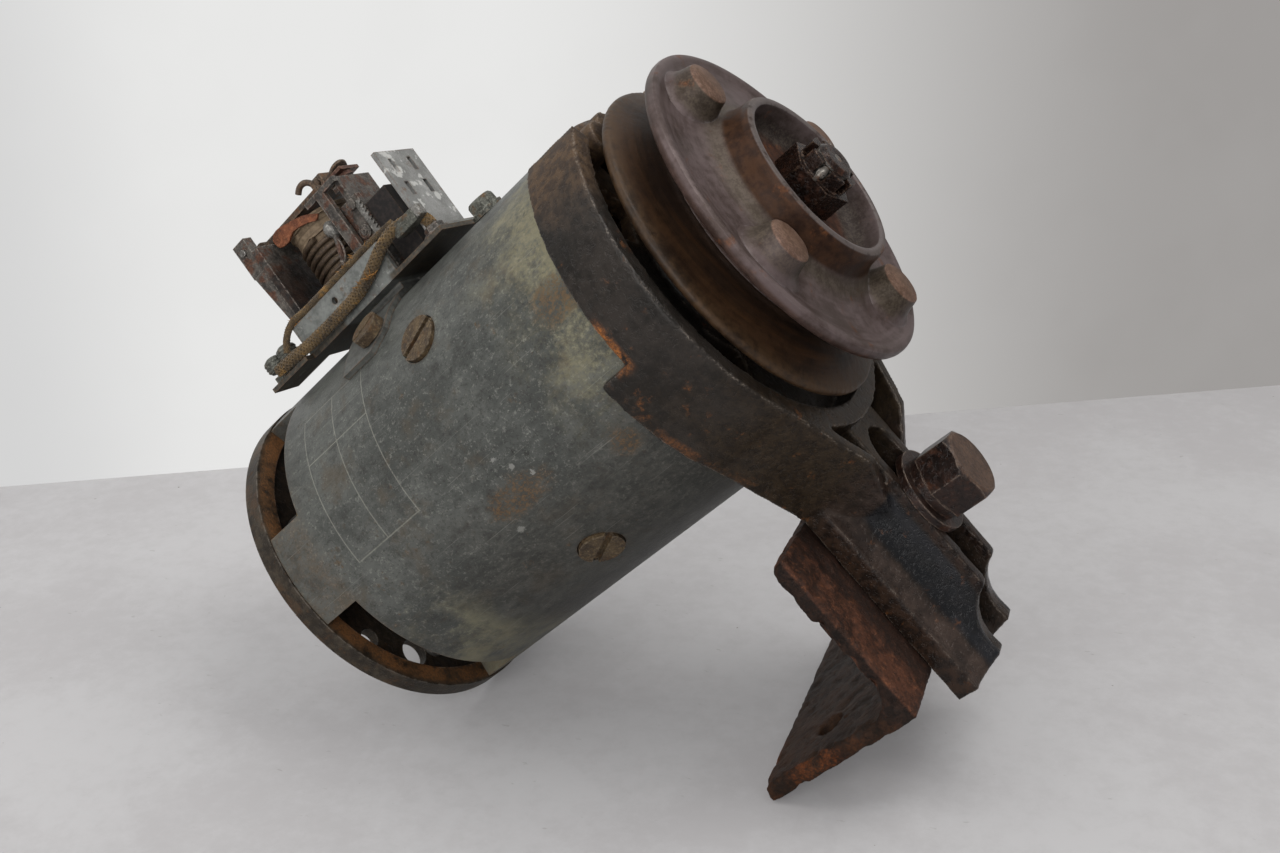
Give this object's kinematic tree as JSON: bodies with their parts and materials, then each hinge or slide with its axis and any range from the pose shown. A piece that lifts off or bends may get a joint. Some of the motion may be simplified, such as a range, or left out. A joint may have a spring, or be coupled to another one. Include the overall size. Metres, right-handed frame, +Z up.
{
  "type": "dynamo",
  "caption": "Antique belt-driven dynamo: cylindrical iron yoke with inspection windows, V-groove pulley, slotted mounting arm, angle bracket and an open cut-out relay on top.",
  "frame": {"origin": "middle of the bounding box, on the ground that the machine rests on", "axes": "+X along the length, from the relay and the end rim to the mounting arm; +Y across, away from the side in the picture; +Z up"},
  "size_m": [0.2556, 0.123, 0.2087],
  "materials": {
    "yoke_iron": "worn dark paint over steel, with pale stains and rust",
    "end_casting": "dark oxidised casting with rusty edges",
    "soft_iron": "plain",
    "taped_copper": "varnished cotton tape over copper wire",
    "rusty_screw": "rusty",
    "bronze": "oiled",
    "plain_steel": "oiled",
    "bearing_steel": "ground",
    "grey_screw": "dull",
    "zinc_sheet": "dull plated sheet with stains",
    "relay_iron": "rusty",
    "coil_paper": "aged varnished paper",
    "relay_copper": "dark varnish",
    "black_moulding": "moulded",
    "braided_lead": "aged braided cotton",
    "armature_copper": "varnished",
    "commutator_copper": "turned",
    "pulley_rear_iron": "rust-brown",
    "pulley_front_iron": "purple-brown patina",
    "nut_rust": "heavy rust",
    "pin_steel": "worn bright",
    "tongue_iron": "orange rust",
    "blade_copper": "tarnished",
    "bolt_rust": "red-brown rust",
    "bracket_rust": "red-brown rust",
    "brush_brass": "dull",
    "carbon": "pressed carbon",
    "spring_steel": "blued"
  },
  "bodies": {
    "housing": {"yoke": "yoke_iron", "commutator_end_plate": "end_casting", "drive_end_bracket": "end_casting", "pole_shoes": "soft_iron", "field_coils": "taped_copper", "pole_screws": "rusty_screw", "through_bolts": "rusty_screw", "commutator_bush": "bronze", "brush_pins": "plain_steel", "bearing_outer_race": "bearing_steel", "bearing_retainer": "plain_steel", "retainer_screws": "plain_steel", "earth_screw": "grey_screw", "relay_saddle": "zinc_sheet", "relay_screws": "rusty_screw", "relay_tray": "zinc_sheet", "relay_frame": "relay_iron", "relay_core": "soft_iron", "relay_bobbin": "coil_paper", "relay_winding": "relay_copper", "relay_hinge_pin": "plain_steel", "terminal_strip": "relay_iron", "contact_post": "relay_iron", "contact_insulator": "black_moulding", "guard_plate": "zinc_sheet", "terminal_studs": "grey_screw", "upper_lead": "braided_lead", "lower_lead": "braided_lead"},
    "rotor": {"shaft": "plain_steel", "armature_core": "soft_iron", "armature_winding": "armature_copper", "commutator": "commutator_copper", "bearing_inner_race": "bearing_steel", "distance_collar": "plain_steel", "pulley_rear_half": "pulley_rear_iron", "pulley_front_half": "pulley_front_iron", "pulley_rivets": "rusty_screw", "pulley_key": "plain_steel", "pulley_washer": "nut_rust", "castle_nut": "nut_rust", "split_pin": "pin_steel"},
    "bearing_cage": {"bearing_cage": "bronze", "bearing_balls": "bearing_steel"},
    "relay_armature": {"relay_armature": "tongue_iron", "contact_blade": "blade_copper"},
    "brush_arm_a": {"brush_arm_a": "brush_brass", "brush_a": "carbon", "brush_spring_a": "spring_steel"},
    "brush_arm_b": {"brush_arm_b": "brush_brass", "brush_b": "carbon", "brush_spring_b": "spring_steel"},
    "brush_arm_c": {"brush_arm_c": "brush_brass", "brush_c": "carbon", "brush_spring_c": "spring_steel"},
    "clamp": {"clamp_bolt": "bolt_rust", "clamp_washer": "bolt_rust", "clamp_spring_washer": "bolt_rust", "clamp_nut": "bolt_rust"},
    "angle_bracket": {"angle_bracket": "bracket_rust"}
  },
  "joints": [
    {"name": "rotor_spin", "type": "hinge", "parent": "housing", "child": "rotor", "pos_m": [0.03508, 0, 0.14596], "axis": [0.7451, 0, 0.667], "continuous": true},
    {"name": "cage_spin", "type": "hinge", "parent": "housing", "child": "bearing_cage", "pos_m": [0.03508, 0, 0.14596], "axis": [0.7451, 0, 0.667], "continuous": true},
    {"name": "relay_tongue", "type": "hinge", "parent": "housing", "child": "relay_armature", "pos_m": [-0.12078, 0.01778, 0.14181], "axis": [0.1158, 0.9848, -0.1294], "range_deg": [0, 1.6], "stiffness_Nm_per_rad": 0.6, "springref_deg": -3.44},
    {"name": "clamp_slide", "type": "slide", "parent": "housing", "child": "clamp", "axis": [0.667, 0, -0.7451], "range_m": [-0.01, 0.022]},
    {"name": "bracket_swivel", "type": "hinge", "parent": "clamp", "child": "angle_bracket", "pos_m": [0.08165, 0, 0.0647], "axis": [0.7451, 0, 0.667], "range_deg": [-15, 15]},
    {"name": "brush_lift_a", "type": "hinge", "parent": "housing", "child": "brush_arm_a", "pos_m": [-0.08656, -0.03418, 0.06894], "axis": [0.7451, 0, 0.667], "range_deg": [0, 20], "stiffness_Nm_per_rad": 0.05, "springref_deg": -28.65},
    {"name": "brush_lift_b", "type": "hinge", "parent": "housing", "child": "brush_arm_b", "pos_m": [-0.04792, -0.02374, 0.02579], "axis": [0.7451, 0, 0.667], "range_deg": [0, 20], "stiffness_Nm_per_rad": 0.05, "springref_deg": -28.65},
    {"name": "brush_lift_c", "type": "hinge", "parent": "housing", "child": "brush_arm_c", "pos_m": [-0.08255, 0.03765, 0.06447], "axis": [0.7451, 0, 0.667], "range_deg": [0, 20], "stiffness_Nm_per_rad": 0.05, "springref_deg": -28.65}
  ],
  "couplings": [
    {"joint": "cage_spin", "follows": "rotor_spin", "ratio": 0.3807}
  ]
}
